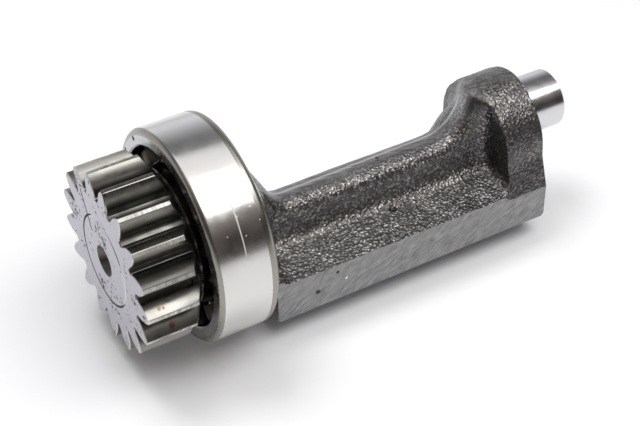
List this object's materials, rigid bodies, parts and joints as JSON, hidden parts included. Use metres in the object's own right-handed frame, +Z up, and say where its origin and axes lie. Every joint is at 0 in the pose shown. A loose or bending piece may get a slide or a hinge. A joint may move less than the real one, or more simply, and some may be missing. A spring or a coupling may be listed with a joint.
{
  "type": "balance shaft",
  "caption": "Forged engine balance shaft with an eccentric counterweight, a pressed-on spur drive gear, a ball bearing behind the gear and a plain ground rear journal.",
  "frame": {"origin": "on the shaft's axis, in the middle of the bearing", "axes": "+X along the shaft from the gear to the rear journal, +Z up and away from the weight, +Y to the far side"},
  "size_m": [0.1244, 0.052, 0.054],
  "materials": {
    "forged_steel": "dark forged scale with turned seats, a ground journal and milled flats",
    "gear_steel": "satin faced front, oily dark tooth flanks with worn bright tips",
    "ring_steel": "ground and polished bearing steel",
    "ball_steel": "lapped bearing balls",
    "cage_steel": "pressed sheet steel, oily"
  },
  "bodies": {
    "shaft": {"balance_shaft": "forged_steel", "drive_gear": "gear_steel", "bearing_inner_ring": "ring_steel"},
    "outer_ring": {"bearing_outer_ring": "ring_steel"},
    "cage_set": {"cage_front": "cage_steel", "cage_rear": "cage_steel", "cage_rivets": "cage_steel", "ball_1": "ball_steel", "ball_2": "ball_steel", "ball_3": "ball_steel", "ball_4": "ball_steel", "ball_5": "ball_steel", "ball_6": "ball_steel", "ball_7": "ball_steel", "ball_8": "ball_steel", "ball_9": "ball_steel"}
  },
  "joints": [
    {"name": "outer_ring_turn", "type": "hinge", "parent": "shaft", "child": "outer_ring", "pos_m": [0, 0, 0], "axis": [1, 0, 0], "continuous": true},
    {"name": "cage_turn", "type": "hinge", "parent": "shaft", "child": "cage_set", "pos_m": [0, 0, 0], "axis": [1, 0, 0], "continuous": true}
  ],
  "couplings": [
    {"joint": "cage_turn", "follows": "outer_ring_turn", "ratio": 0.6026}
  ]
}
